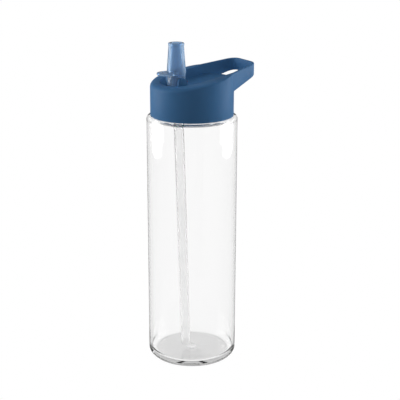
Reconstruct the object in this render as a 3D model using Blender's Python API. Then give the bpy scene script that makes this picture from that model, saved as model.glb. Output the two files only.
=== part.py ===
"""Sports bottle: clear body, screw lid with a carry loop, flip spout and straw.

Frame: origin on the bottle's axis at its underside, +Z up, +X towards the carry loop.
Lengths are in metres. The lid is shown screwed down, with the spout flipped up.
"""

import math

import bmesh
import bpy
from mathutils import Matrix, Vector

MM = 0.001

# Clearances
REST_GAP = 0.3 * MM  # between pieces that touch face to face
THREAD_GAP = 0.35 * MM  # radial, between a thread's crest and the wall it faces
TRUNNION_GAP = 0.1 * MM  # radial, trunnion in its bearing
HUB_GAP = 0.4 * MM  # hub to the recess floor and to the cheeks
SLEEVE_GAP = 0.35 * MM  # radial, in the straw connector

# Bottle body
BODY_R = 36.0 * MM
BODY_WALL = 1.9 * MM
BODY_H = 203.4 * MM  # underside to shoulder
BASE_CORNER_R = 5.0 * MM
SHOULDER_CORNER_R = 2.6 * MM
FLOOR_T = 4.0 * MM
GATE_NUB_R = 4.5 * MM
GATE_NUB_H = 0.9 * MM
NECK_H = 11.8 * MM  # shoulder to rim
NECK_WALL = 2.1 * MM
NECK_FILLET_R = 1.0 * MM
NECK_LIP_BEVEL = 0.5 * MM

# Lid
SHOULDER_W = 3.05 * MM  # body beyond the lid's side
CAP_R = BODY_R - SHOULDER_W
CAP_WALL = 2.2 * MM
SHOULDER_GAP = 0.6 * MM  # shoulder to the lid's lower edge
LID_H = 30.25 * MM  # lower edge to the slanted top, on the bottle's axis
TOP_TILT = math.radians(9.67)  # rises towards the loop
FRONT_DROP = 2.9 * MM  # height of the rim's round-over at the front
SIDE_DROP = 1.3 * MM  # the same at the sides
FRONT_ROUND_W = 3.2 * MM  # width of the round-over at the front
SIDE_ROUND_W = 4.5 * MM  # the same at the sides
SIDE_LAND_W = 11.65 * MM  # recess to the lid's side
FRONT_LAND_W = 7.95 * MM  # recess to the lid's front
RECESS_HALF_W = CAP_R - SIDE_LAND_W
RECESS_FRONT_X = FRONT_LAND_W - CAP_R
RECESS_ROUND_X = -4.0 * MM  # where the rounded front end of the recess begins
RECESS_SQUARENESS = 2.05  # exponent of the front end's curve
RECESS_EDGE_R = 0.6 * MM
ROOF_T = 3.0 * MM
SEAT_LEDGE = 5.3 * MM  # width of the gasket's seat

# Carry loop
LOOP_REACH = 17.75 * MM  # beyond the lid's side
LOOP_END_X = CAP_R + LOOP_REACH
LOOP_END_HALF_W = 16.0 * MM
LOOP_TAPER = math.radians(15.9)  # of each side
LOOP_CORNER_R = 10.0 * MM
LOOP_WALL = 2.3 * MM
LOOP_ROUND_W = 0.8 * MM
LOOP_END_H = 8.8 * MM
LOOP_UNDERSIDE_TILT = math.radians(20.6)

# Thread
THREAD_PITCH = 4.0 * MM
THREAD_DEPTH = 1.3 * MM
THREAD_ROOT_W = 2.2 * MM
THREAD_CREST_W = 1.1 * MM
THREAD_TURNS = 1.25
THREAD_Z = 3.3 * MM  # above the shoulder, where the neck's thread begins
THREAD_SINK = 0.4 * MM  # depth of the root inside its wall

# Spout
PIVOT_SETBACK = 10.8 * MM  # recess's front end to the hinge line
PIVOT_X = RECESS_FRONT_X + PIVOT_SETBACK  # the hinge line lies in the plane of the rim
SPOUT_H = 29.9 * MM  # pivot to tip
TIP_R = 6.0 * MM
LIP_R = 6.25 * MM
LIP_H = 1.6 * MM  # tip to the lip's lower edge
LIP_SLOPE_H = 0.8 * MM  # below the lip, where the tube flares into it
LIP_ROUND = 0.65 * MM
TUBE_BASE_R = 7.3 * MM
TUBE_BASE_H = 10.0 * MM  # pivot to where the taper begins
TUBE_FOOT_R = 6.2 * MM  # narrow foot that clears the seal when folded
HUB_R = 7.5 * MM
HUB_HALF_W = 6.9 * MM
TUBE_WALL = 2.3 * MM
MOUTH_R = 3.4 * MM  # bore at the tip
DRINK_HOLE_R = 2.7 * MM
TAB_REACH = 16.4 * MM  # pivot to the end of the thumb tab
TAB_HALF_W = 7.1 * MM
TAB_T = 1.8 * MM
TAB_H = 5.8 * MM  # pivot to the tab's underside
TRUNNION_R = 1.7 * MM
CHEEK_T = 2.8 * MM
CHEEK_R = 3.8 * MM
SOCKET_SKIN_T = 0.8 * MM  # left at the blind end of each trunnion socket

# Seal, nozzle, connector and straw
NOZZLE_OFFSET = 1.9 * MM  # behind the hinge line
NOZZLE_X = PIVOT_X + NOZZLE_OFFSET
SEAL_R = 4.8 * MM
SEAL_H = 7.2 * MM
NOZZLE_R = 3.5 * MM
NOZZLE_BORE_R = 2.5 * MM
NOZZLE_L = 7.0 * MM
BOSS_WALL = 2.2 * MM
BOSS_FLOOR_T = 3.0 * MM
CONNECTOR_WALL = 1.5 * MM
CONNECTOR_GRIP = 5.0 * MM  # length over the straw
CONNECTOR_WEB_T = 0.6 * MM  # between the nozzle's tip and the straw
STRAW_R = 3.85 * MM
STRAW_WALL = 0.7 * MM
STRAW_LEAN = math.radians(1.85)  # foot leans towards the loop
STRAW_FLOOR_GAP = 3.6 * MM  # floor to the straw's foot

# Gasket and vent valve
GASKET_T = 1.7 * MM
GASKET_INSET = 0.4 * MM  # radial, from the neck's bore and from the lid's
VALVE_X = 8.0 * MM
VALVE_INSET = 6.8 * MM  # from the recess's side
VALVE_Y = VALVE_INSET - RECESS_HALF_W
VALVE_HOLE_R = 1.8 * MM
VALVE_STEM_R = 1.5 * MM
VALVE_HEAD_R = 3.2 * MM
VALVE_SKIRT_R = 4.4 * MM
VALVE_HEAD_T = 0.8 * MM
VALVE_BEVEL = 0.3 * MM
VALVE_SKIRT_T = 0.6 * MM
VALVE_TAIL_H = 1.6 * MM  # skirt's rim to the end of the stem

# Facets
ROUND_STEPS = 72
SMALL_STEPS = 32
CORNER_STEPS = 5
THREAD_STEPS = 48  # per turn

# Derived places
CAP_BORE_R = CAP_R - CAP_WALL
NECK_R = CAP_BORE_R - THREAD_GAP - THREAD_DEPTH
NECK_BORE_R = NECK_R - NECK_WALL
NECK_TOP_Z = BODY_H + NECK_H
SEAT_Z = NECK_TOP_Z + GASKET_T + 2 * REST_GAP
SEAT_BORE_R = CAP_BORE_R - SEAT_LEDGE
CAP_BOTTOM_Z = BODY_H + SHOULDER_GAP
TOP_Z = CAP_BOTTOM_Z + LID_H
TOP_SLOPE = math.tan(TOP_TILT)
LOOP_SLOPE = math.tan(LOOP_TAPER)
UNDERSIDE_SLOPE = math.tan(LOOP_UNDERSIDE_TILT)
RECESS_DEPTH = HUB_R + HUB_GAP
PIVOT_Z = TOP_Z + PIVOT_X * TOP_SLOPE
CHEEK_Y = HUB_HALF_W + HUB_GAP
SOCKET_END_Y = CHEEK_Y + CHEEK_T - SOCKET_SKIN_T
SEAL_BORE_R = SEAL_R + REST_GAP
SEAL_BOTTOM_Z = PIVOT_Z - HUB_R - SEAL_H
NOZZLE_TOP_Z = SEAL_BOTTOM_Z - REST_GAP - BOSS_FLOOR_T
NOZZLE_TIP_Z = NOZZLE_TOP_Z - NOZZLE_L
CONNECTOR_TOP_Z = NOZZLE_TOP_Z - REST_GAP
STRAW_TOP_Z = NOZZLE_TIP_Z - 2 * REST_GAP - CONNECTOR_WEB_T
STRAW_FOOT_Z = FLOOR_T + STRAW_FLOOR_GAP


def top_z(x, below=0.0):
    """Height of the lid's slanted top at x, or of the plane parallel to it and lower by `below`."""
    return TOP_Z + x * TOP_SLOPE - below / math.cos(TOP_TILT)


def underside_z(x):
    """Height of the carry loop's slanted underside at x."""
    return top_z(LOOP_END_X) - LOOP_END_H - (LOOP_END_X - x) * UNDERSIDE_SLOPE


def material(name, colour, roughness, alpha=1.0, transmission=0.0, ior=1.45):
    """A Principled material for one kind of plastic."""
    made = bpy.data.materials.new(name)
    made.use_nodes = True
    shader = made.node_tree.nodes["Principled BSDF"]
    shader.inputs["Base Color"].default_value = (*colour, 1.0)
    shader.inputs["Roughness"].default_value = roughness
    shader.inputs["Metallic"].default_value = 0.0
    shader.inputs["Alpha"].default_value = alpha
    shader.inputs["Transmission Weight"].default_value = transmission
    shader.inputs["IOR"].default_value = ior
    made.diffuse_color = (*colour, alpha)
    return made


def new_object(name, bm, surface=None):
    """Puts a bmesh into the scene as one closed object with its faces outward."""
    bmesh.ops.remove_doubles(bm, verts=bm.verts, dist=1e-6)
    bmesh.ops.recalc_face_normals(bm, faces=bm.faces)
    mesh = bpy.data.meshes.new(name)
    bm.to_mesh(mesh)
    bm.free()
    mesh.shade_smooth()
    mesh.set_sharp_from_angle(angle=math.radians(32))
    made = bpy.data.objects.new(name, mesh)
    bpy.context.scene.collection.objects.link(made)
    if surface:
        mesh.materials.append(surface)
    return made


def cutter(name, bm):
    """A helper solid that only cuts or joins, hidden from the render."""
    made = new_object(name, bm)
    made.hide_render = True
    made.display_type = "WIRE"
    return made


def combine(target, tool, operation):
    """Adds one exact Boolean to the target."""
    modifier = target.modifiers.new(tool.name, "BOOLEAN")
    modifier.operation = operation
    modifier.solver = "EXACT"
    modifier.object = tool


def arc(centre, radius, start, end, steps=CORNER_STEPS):
    """Points of an arc in the profile plane, from the start angle to the end angle."""
    angles = [math.radians(start + (end - start) * i / steps) for i in range(steps + 1)]
    return [(centre[0] + radius * math.cos(a), centre[1] + radius * math.sin(a)) for a in angles]


def turned(profile, steps=ROUND_STEPS, at=(0.0, 0.0)):
    """Solid of revolution about a vertical axis. The profile is a closed outline of (radius, z)."""
    bm = bmesh.new()
    rings = []
    for i in range(steps):
        a = 2 * math.pi * i / steps
        rings.append(
            [
                bm.verts.new((at[0] + r * math.cos(a), at[1] + r * math.sin(a), z))
                for r, z in profile
            ]
        )
    for i in range(steps):
        here = rings[i]
        there = rings[(i + 1) % steps]
        for j in range(len(profile)):
            k = (j + 1) % len(profile)
            corners = [here[j], here[k], there[k], there[j]]
            if profile[j][0] < 1e-9 and profile[k][0] < 1e-9:
                continue
            if profile[j][0] < 1e-9:
                corners = [here[j], here[k], there[k]]
            elif profile[k][0] < 1e-9:
                corners = [here[j], here[k], there[j]]
            bm.faces.new(corners)
    return bm


def moved(bm, matrix):
    """The same bmesh after a transform."""
    bmesh.ops.transform(bm, matrix=matrix, verts=bm.verts)
    return bm


def rod(radius, z_low, z_high, at=(0.0, 0.0), steps=SMALL_STEPS):
    """Upright cylinder as a bmesh."""
    return turned([(0.0, z_low), (radius, z_low), (radius, z_high), (0.0, z_high)], steps, at)


def cross_rod(radius, y_low, y_high, at, steps=SMALL_STEPS):
    """Cylinder along Y, with its axis through at = (x, z)."""
    bm = rod(radius, y_low, y_high, steps=steps)
    turn = Matrix.Rotation(-math.pi / 2, 4, "X")
    return moved(bm, Matrix.Translation((at[0], 0.0, at[1])) @ turn)


def prism(outline, low, high):
    """Vertical prism over an (x, y) outline. low and high are functions of x."""
    bm = bmesh.new()
    below = [bm.verts.new((x, y, low(x))) for x, y in outline]
    above = [bm.verts.new((x, y, high(x))) for x, y in outline]
    bm.faces.new(below)
    bm.faces.new(above)
    for i in range(len(outline)):
        j = (i + 1) % len(outline)
        bm.faces.new([below[i], below[j], above[j], above[i]])
    return bm


def helix(radius, outward, z_start, start_turn, turns):
    """Thread rib on a wall. It rises anticlockwise and fades out at both ends."""
    bm = bmesh.new()
    count = round(turns * THREAD_STEPS)
    fade = THREAD_STEPS / 12
    sections = []
    for i in range(count + 1):
        turn = start_turn + i / THREAD_STEPS
        a = 2 * math.pi * turn
        z = z_start + THREAD_PITCH * i / THREAD_STEPS
        height = THREAD_DEPTH * min(1.0, i / fade - 0.2, (count - i) / fade - 0.2)
        section = []
        for depth, width in (
            (-THREAD_SINK, -THREAD_ROOT_W / 2),
            (height, -THREAD_CREST_W / 2),
            (height, THREAD_CREST_W / 2),
            (-THREAD_SINK, THREAD_ROOT_W / 2),
        ):
            r = radius + outward * depth
            section.append(bm.verts.new((r * math.cos(a), r * math.sin(a), z + width)))
        sections.append(section)
    for here, there in zip(sections, sections[1:]):
        for j in range(4):
            k = (j + 1) % 4
            bm.faces.new([here[j], here[k], there[k], there[j]])
    bm.faces.new(sections[0])
    bm.faces.new(sections[-1])
    bmesh.ops.triangulate(bm, faces=bm.faces)
    return bm


def loop_line_x(radius, inset):
    """x where a side of the loop, moved inward by `inset`, meets the circle of this radius."""
    reach = LOOP_END_HALF_W + LOOP_END_X * LOOP_SLOPE - inset / math.cos(LOOP_TAPER)
    a = 1 + LOOP_SLOPE**2
    b = reach * LOOP_SLOPE
    return (b + math.sqrt(b * b - a * (reach * reach - radius * radius))) / a


def loop_half_w(x, inset=0.0):
    """Half width of the loop's outline at x, moved inward by `inset`."""
    return LOOP_END_HALF_W + (LOOP_END_X - x) * LOOP_SLOPE - inset / math.cos(LOOP_TAPER)


def loop_side(start_x, inset):
    """+Y half of the loop's outline, from start_x to the end of its rounded corner."""
    end_x = LOOP_END_X - inset
    radius = LOOP_CORNER_R - inset
    normal = math.pi / 2 - LOOP_TAPER
    centre_x = end_x - radius
    centre_y = loop_half_w(centre_x, inset) - radius / math.cos(LOOP_TAPER)
    corner = [
        (
            centre_x + radius * math.cos(normal * (1 - i / 8)),
            centre_y + radius * math.sin(normal * (1 - i / 8)),
        )
        for i in range(9)
    ]
    straight_steps = 6
    straight = [
        start_x + (corner[0][0] - start_x) * i / straight_steps for i in range(straight_steps)
    ]
    return [(x, loop_half_w(x, inset)) for x in straight] + corner


def circle_points(start, end, steps):
    """Points of the lid's circle, both ends included."""
    angles = [start + (end - start) * i / steps for i in range(steps + 1)]
    return [(CAP_R * math.cos(a), CAP_R * math.sin(a)) for a in angles]


def recess_front_half():
    """+Y half of the recess from the middle of its rounded front end to the loop's inner wall."""
    reach = RECESS_ROUND_X - RECESS_FRONT_X
    points = []
    for i in range(11):
        t = math.pi / 2 * i / 10
        power = 2 / RECESS_SQUARENESS
        x = RECESS_ROUND_X - reach * math.cos(t) ** power
        points.append((x, RECESS_HALF_W * math.sin(t) ** power))
    hole_end_half_w = LOOP_END_HALF_W - LOOP_WALL / math.cos(LOOP_TAPER)
    taper_x = LOOP_END_X + (hole_end_half_w - RECESS_HALF_W) / LOOP_SLOPE
    points.append(((RECESS_ROUND_X + taper_x) / 2, RECESS_HALF_W))
    points.append((taper_x, RECESS_HALF_W))
    return points


def smoothstep(t):
    """0 to 1, with level ends."""
    t = min(1.0, max(0.0, t))
    return t * t * (3 - 2 * t)


def rim_round(x):
    """(width, drop) of the rim's round-over at x."""
    front = smoothstep(-x / CAP_R)
    width = SIDE_ROUND_W + (FRONT_ROUND_W - SIDE_ROUND_W) * front
    drop = SIDE_DROP + (FRONT_DROP - SIDE_DROP) * front
    to_loop = smoothstep((x - 0.25 * CAP_R) / (0.4 * CAP_R))
    return width + (LOOP_ROUND_W - width) * to_loop, drop + (LOOP_ROUND_W - drop) * to_loop


def inward(points):
    """Unit normals into a closed anticlockwise outline, one per point."""
    found = []
    for i in range(len(points)):
        before = Vector(points[i - 1])
        after = Vector(points[(i + 1) % len(points)])
        along = (after - before).normalized()
        found.append(Vector((-along.y, along.x)))
    return found


def cap_blank():
    """Skin of the lid with its recess and loop, still solid underneath."""
    meet_x = loop_line_x(CAP_R, 0.0)
    inner_x = loop_line_x(CAP_R, LOOP_WALL)
    meet = math.acos(meet_x / CAP_R)
    inner_meet = math.acos(inner_x / CAP_R)
    back = circle_points(meet, 2 * math.pi - meet, 56)
    loop_half = loop_side(meet_x, 0.0)
    loop = [(x, -y) for x, y in loop_half] + list(reversed(loop_half))
    outline = back + loop[1:-1]
    front_half = recess_front_half()
    hole_half = loop_side(inner_x, LOOP_WALL)
    deck = [(inner_x, -loop_half_w(inner_x, LOOP_WALL))]
    deck += [(x, -y) for x, y in reversed(front_half[1:])] + front_half
    deck += [(inner_x, loop_half_w(inner_x, LOOP_WALL))]
    hole = hole_half + [(x, -y) for x, y in reversed(hole_half)]
    side = circle_points(meet, inner_meet, 2)
    middle = circle_points(inner_meet, -inner_meet, 22)
    bm = bmesh.new()

    def vert(point, z):
        return bm.verts.new((point[0], point[1], z))

    def wall(columns):
        """Faces between neighbouring columns, each a list of vertices from low to high."""
        for here, there in zip(columns, columns[1:]):
            bm.faces.new(here + list(reversed(there)))

    # Outer wall, with the rim's round-over as four rings
    normals = inward(outline)
    upper = []
    for point, normal in zip(outline, normals):
        width, drop = rim_round(point[0])
        column = []
        for i in range(5):
            t = math.pi / 2 * i / 4
            at = Vector(point) + normal * width * (1 - math.cos(t))
            column.append(vert(at, top_z(at.x) - drop * (1 - math.sin(t))))
        upper.append(column)
    count = len(outline)
    for i in range(count):
        here = upper[i]
        there = upper[(i + 1) % count]
        for j in range(4):
            bm.faces.new([here[j], there[j], there[j + 1], here[j + 1]])
    rim_outer = [column[-1] for column in upper]

    # Skirt, below the circular part of the outline
    back_low = [vert(p, CAP_BOTTOM_Z) for p in back]
    last = len(back) - 1
    ends = {i: vert(back[i], underside_z(back[i][0])) for i in (0, last)}
    columns = []
    for i in range(len(back)):
        column = [back_low[i]] + ([ends[i]] if i in ends else []) + [upper[i][0]]
        columns.append(column)
    wall(columns)

    # Loop's outer side
    loop_low = [ends[last]] + [vert(p, underside_z(p[0])) for p in loop[1:-1]] + [ends[0]]
    loop_up = [upper[last + i][0] for i in range(len(loop) - 1)] + [upper[0][0]]
    wall([[low, high] for low, high in zip(loop_low, loop_up)])

    # Skirt under the loop: side stretches reach the loop's underside, the middle the recess floor
    side_low = [back_low[0]] + [vert(p, CAP_BOTTOM_Z) for p in side[1:]]
    side_high = [ends[0]] + [vert(p, underside_z(p[0])) for p in side[1:]]
    wall([[a, b] for a, b in zip(side_low, side_high)])
    other = [(x, -y) for x, y in side]
    other_low = [back_low[-1]] + [vert(p, CAP_BOTTOM_Z) for p in other[1:]]
    other_high = [ends[last]] + [vert(p, underside_z(p[0])) for p in other[1:]]
    wall([[a, b] for a, b in zip(other_low, other_high)])
    middle_low = [side_low[-1]] + [vert(p, CAP_BOTTOM_Z) for p in middle[1:-1]] + [other_low[-1]]
    middle_high = [vert(p, top_z(p[0], RECESS_DEPTH)) for p in middle]
    columns = [[a, b] for a, b in zip(middle_low, middle_high)]
    columns[0].insert(1, side_high[-1])
    columns[-1].insert(1, other_high[-1])
    wall(columns)
    inner_low = list(reversed(middle_low)) + list(reversed(side_low[1:-1]))
    bm.faces.new(back_low + other_low[1:-1] + inner_low)

    # Recess and finger hole: rounded upper edge, then walls to the floor or to the loop's underside
    inner = deck + hole[1:-1]
    inner_normals = inward(inner)
    edges = []
    for point, normal in zip(inner, inner_normals):
        column = []
        for i in range(4):
            t = math.pi / 2 * i / 3
            at = Vector(point) + normal * RECESS_EDGE_R * (1 - math.cos(t))
            column.append(vert(at, top_z(at.x) - RECESS_EDGE_R * (1 - math.sin(t))))
        edges.append(column)
    count = len(inner)
    for i in range(count):
        here = edges[i]
        there = edges[(i + 1) % count]
        for j in range(3):
            bm.faces.new([here[j], there[j], there[j + 1], here[j + 1]])
    rim_inner = [column[-1] for column in edges]
    floor = [vert(p, top_z(p[0], RECESS_DEPTH)) for p in deck[1:-1]]
    deck_low = [middle_high[-1]] + floor + [middle_high[0]]
    wall([[low, edges[i][0]] for i, low in enumerate(deck_low)])
    hole_low = [side_high[-1]] + [vert(p, underside_z(p[0])) for p in hole[1:-1]] + [other_high[-1]]
    hole_up = [edges[len(deck) - 1 + i][0] for i in range(len(hole) - 1)] + [edges[0][0]]
    columns = [[low, high] for low, high in zip(hole_low, hole_up)]
    columns[0].insert(1, middle_high[0])
    columns[-1].insert(1, middle_high[-1])
    wall(columns)
    bm.faces.new(deck_low + middle_high[1:-1])
    bm.faces.new(loop_low + side_high[1:] + hole_low[1:-1] + list(reversed(other_high[1:])))

    # Flat land between the two edges
    ring_edges = []
    for ring in (rim_outer, rim_inner):
        for i in range(len(ring)):
            ring_edges.append(bm.edges.get((ring[i], ring[(i + 1) % len(ring)])))
    bmesh.ops.triangle_fill(bm, use_beauty=True, use_dissolve=False, edges=ring_edges)
    return bm


def slab(outline, y_low, y_high):
    """Prism along Y over an (x, z) outline."""
    bm = bmesh.new()
    near = [bm.verts.new((x, y_low, z)) for x, z in outline]
    far = [bm.verts.new((x, y_high, z)) for x, z in outline]
    bm.faces.new(near)
    bm.faces.new(far)
    for i in range(len(outline)):
        j = (i + 1) % len(outline)
        bm.faces.new([near[i], near[j], far[j], far[i]])
    return bm


def ring_outline(radius, at_x=0.0, steps=ROUND_STEPS):
    """Points of a full circle in plan."""
    angles = [2 * math.pi * i / steps for i in range(steps)]
    return [(at_x + radius * math.cos(a), radius * math.sin(a)) for a in angles]


def build_body(surface):
    """Clear bottle with its thick floor, shoulder and threaded neck."""
    inner_r = BODY_R - BODY_WALL
    under = BODY_H - BODY_WALL
    fillet = NECK_FILLET_R
    bevel = NECK_LIP_BEVEL
    profile = [(NECK_BORE_R, NECK_TOP_Z), (NECK_R - bevel, NECK_TOP_Z), (NECK_R, NECK_TOP_Z - bevel)]
    profile += arc((NECK_R + fillet, BODY_H + fillet), fillet, 180, 270, 2)
    profile += arc((BODY_R - SHOULDER_CORNER_R, BODY_H - SHOULDER_CORNER_R), SHOULDER_CORNER_R, 90, 0)
    profile += arc((BODY_R - BASE_CORNER_R, BASE_CORNER_R), BASE_CORNER_R, 0, -90)
    profile += [(0.0, 0.0), (0.0, FLOOR_T)]
    profile += [(GATE_NUB_R - 2 * fillet, FLOOR_T), (GATE_NUB_R - fillet, FLOOR_T + GATE_NUB_H)]
    profile += [(GATE_NUB_R, FLOOR_T + GATE_NUB_H), (GATE_NUB_R + fillet, FLOOR_T)]
    profile += arc((inner_r - BASE_CORNER_R, FLOOR_T + BASE_CORNER_R), BASE_CORNER_R, -90, 0)
    profile += arc((inner_r - SHOULDER_CORNER_R, under - SHOULDER_CORNER_R), SHOULDER_CORNER_R, 0, 90, 3)
    profile += arc((NECK_BORE_R + fillet, under + fillet), fillet, 270, 180, 2)
    body = new_object("bottle_body", turned(profile), surface)
    thread = helix(NECK_R, 1, BODY_H + THREAD_Z, 0.0, THREAD_TURNS)
    combine(body, cutter("neck_thread", thread), "UNION")
    return body


def build_cap(surface):
    """Lid with its skirt, inner thread, recess, bearing cheeks, nozzle and carry loop."""
    cap = new_object("cap_shell", cap_blank(), surface)
    overrun = 5 * MM

    def half_roof(x):
        return top_z(x, RECESS_DEPTH + ROOF_T / 2)

    bore = rod(CAP_BORE_R, CAP_BOTTOM_Z - overrun, SEAT_Z, steps=ROUND_STEPS)
    combine(cap, cutter("thread_bore", bore), "DIFFERENCE")

    # Half a pitch above the neck's thread, and captured under its next turn
    start_turn = 0.5 - THREAD_TURNS
    start_z = BODY_H + THREAD_Z + THREAD_PITCH * (0.5 + start_turn)
    thread = helix(CAP_BORE_R, -1, start_z, start_turn, THREAD_TURNS)
    combine(cap, cutter("cap_thread", thread), "UNION")

    # Hollow between the gasket's seat and the roof
    dome = prism(
        ring_outline(SEAT_BORE_R),
        lambda x: SEAT_Z - 1 * MM,
        lambda x: top_z(x, RECESS_DEPTH + ROOF_T),
    )
    combine(cap, cutter("roof_cavity", dome), "DIFFERENCE")
    vent = moved(rod(VALVE_HOLE_R, -ROOF_T - overrun, overrun), valve_place())
    combine(cap, cutter("vent_hole", vent), "DIFFERENCE")
    boss_r = SEAL_BORE_R + BOSS_WALL
    boss = prism(ring_outline(boss_r, PIVOT_X, 40), lambda x: NOZZLE_TOP_Z, half_roof)
    combine(cap, cutter("seal_boss", boss), "UNION")
    nozzle = rod(NOZZLE_R, NOZZLE_TIP_Z, NOZZLE_TOP_Z + 1 * MM, (NOZZLE_X, 0.0))
    combine(cap, cutter("nozzle", nozzle), "UNION")

    # Bearing cheeks on the recess floor
    foot_z = top_z(PIVOT_X, RECESS_DEPTH) - ROOF_T / 2
    outline = [(PIVOT_X - CHEEK_R, foot_z), (PIVOT_X + CHEEK_R, foot_z)]
    outline += arc((PIVOT_X, PIVOT_Z), CHEEK_R, 0, 180, 12)
    for side, name in ((1, "far_cheek"), (-1, "near_cheek")):
        ends = sorted((side * CHEEK_Y, side * (CHEEK_Y + CHEEK_T)))
        combine(cap, cutter(name, slab(outline, *ends)), "UNION")
    sockets = cross_rod(TRUNNION_R + TRUNNION_GAP, -SOCKET_END_Y, SOCKET_END_Y, (PIVOT_X, PIVOT_Z))
    combine(cap, cutter("trunnion_sockets", sockets), "DIFFERENCE")

    # Seat of the seal, and the nozzle's bore
    ledge_z = SEAL_BOTTOM_Z - REST_GAP
    seat = rod(SEAL_BORE_R, ledge_z, PIVOT_Z, (PIVOT_X, 0.0), 36)
    combine(cap, cutter("seal_bore", seat), "DIFFERENCE")
    drink = rod(NOZZLE_BORE_R, NOZZLE_TIP_Z - overrun, ledge_z + 1 * MM, (NOZZLE_X, 0.0))
    combine(cap, cutter("nozzle_bore", drink), "DIFFERENCE")
    return cap


def valve_place():
    """Placement of the vent valve: its local z = 0 is the recess floor."""
    at = Matrix.Translation((VALVE_X, VALVE_Y, top_z(VALVE_X, RECESS_DEPTH)))
    return at @ Matrix.Rotation(-TOP_TILT, 4, "Y")


def build_spout(surface):
    """Flip mouthpiece: tapered tube, thumb tab, hub and trunnions. Its origin is on the hinge line."""
    axis = (PIVOT_X, 0.0)
    tip_z = PIVOT_Z + SPOUT_H
    tab_low = PIVOT_Z + TAB_H
    outside = [
        (0.0, PIVOT_Z),
        (TUBE_FOOT_R, PIVOT_Z),
        (TUBE_FOOT_R, PIVOT_Z + CHEEK_R + HUB_GAP),
        (TUBE_BASE_R, tab_low),
        (TUBE_BASE_R, PIVOT_Z + TUBE_BASE_H),
        (TIP_R, tip_z - LIP_H - LIP_SLOPE_H),
        (LIP_R, tip_z - LIP_H),
        (LIP_R, tip_z - LIP_ROUND),
        (LIP_R - LIP_ROUND, tip_z),
        (0.0, tip_z),
    ]
    spout = new_object("spout", turned(outside, 40, axis), surface)
    hub = cutter("hub", cross_rod(HUB_R, -HUB_HALF_W, HUB_HALF_W, (PIVOT_X, PIVOT_Z), 48))
    trim = rod(TUBE_BASE_R - 0.1 * MM, PIVOT_Z - 2 * HUB_R, PIVOT_Z + 2 * HUB_R, axis, 44)
    combine(hub, cutter("hub_trim", trim), "INTERSECT")
    combine(spout, hub, "UNION")
    pin_end = SOCKET_END_Y - REST_GAP
    pin = cross_rod(TRUNNION_R, -pin_end, pin_end, (PIVOT_X, PIVOT_Z))
    combine(spout, cutter("trunnions", pin), "UNION")
    round_x = PIVOT_X - TAB_REACH + TAB_HALF_W
    tongue = [(PIVOT_X, -TAB_HALF_W), (PIVOT_X, TAB_HALF_W)]
    tongue += arc((round_x, 0.0), TAB_HALF_W, 90, 270, 16)
    tab = prism(tongue, lambda x: tab_low, lambda x: tab_low + TAB_T)
    combine(spout, cutter("thumb_tab", tab), "UNION")
    bore_r = TUBE_BASE_R - TUBE_WALL
    inside = [
        (0.0, PIVOT_Z - HUB_R - 2 * MM),
        (DRINK_HOLE_R, PIVOT_Z - HUB_R - 2 * MM),
        (DRINK_HOLE_R, PIVOT_Z + 1 * MM),
        (bore_r, tab_low),
        (bore_r, PIVOT_Z + TUBE_BASE_H),
        (MOUTH_R, tip_z - 3 * MM),
        (MOUTH_R, tip_z + 1 * MM),
        (0.0, tip_z + 1 * MM),
    ]
    combine(spout, cutter("spout_bore", turned(inside, SMALL_STEPS, axis)), "DIFFERENCE")
    set_origin(spout, (PIVOT_X, 0.0, PIVOT_Z))
    return spout


def set_origin(made, place):
    """Moves an object's origin, leaving its shape where it is."""
    made.data.transform(Matrix.Translation(-Vector(place)))
    made.location = place


def build_spout_seal(surface):
    """Silicone seat with a hollowed top that the hub turns on."""
    axis = (PIVOT_X, 0.0)
    seal = new_object("spout_seal", rod(SEAL_R, SEAL_BOTTOM_Z, PIVOT_Z - HUB_R / 2, axis), surface)
    reach = 2 * SEAL_R
    hollow = cross_rod(HUB_R + REST_GAP, -reach, reach, (PIVOT_X, PIVOT_Z), 48)
    combine(seal, cutter("seal_hollow", hollow), "DIFFERENCE")
    hole = rod(DRINK_HOLE_R, SEAL_BOTTOM_Z - 1 * MM, PIVOT_Z, axis)
    combine(seal, cutter("seal_hole", hole), "DIFFERENCE")
    return seal


def build_connector(surface):
    """Silicone sleeve over the lid's nozzle and the top of the straw."""
    outer_r = STRAW_R + SLEEVE_GAP + CONNECTOR_WALL
    foot_z = STRAW_TOP_Z - CONNECTOR_GRIP
    web_top = NOZZLE_TIP_Z - REST_GAP
    web_bottom = STRAW_TOP_Z + REST_GAP
    profile = [
        (outer_r, CONNECTOR_TOP_Z),
        (outer_r, foot_z),
        (STRAW_R + SLEEVE_GAP, foot_z),
        (STRAW_R + SLEEVE_GAP, web_bottom),
        (NOZZLE_BORE_R, web_bottom),
        (NOZZLE_BORE_R, web_top),
        (NOZZLE_R + SLEEVE_GAP, web_top),
        (NOZZLE_R + SLEEVE_GAP, CONNECTOR_TOP_Z),
    ]
    return new_object("straw_connector", turned(profile, SMALL_STEPS, (NOZZLE_X, 0.0)), surface)


def build_straw(surface):
    """Long drinking tube, leaning a little, from the connector to just above the floor."""
    bore_r = STRAW_R - STRAW_WALL
    profile = [
        (STRAW_R, STRAW_TOP_Z),
        (STRAW_R, STRAW_FOOT_Z),
        (bore_r, STRAW_FOOT_Z),
        (bore_r, STRAW_TOP_Z),
    ]
    grip = Matrix.Translation((NOZZLE_X, 0.0, STRAW_TOP_Z - CONNECTOR_GRIP / 2))
    down = Matrix.Translation((0.0, 0.0, CONNECTOR_GRIP / 2 - STRAW_TOP_Z))
    tube = moved(turned(profile, SMALL_STEPS), grip @ Matrix.Rotation(-STRAW_LEAN, 4, "Y") @ down)
    return new_object("straw", tube, surface)


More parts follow.
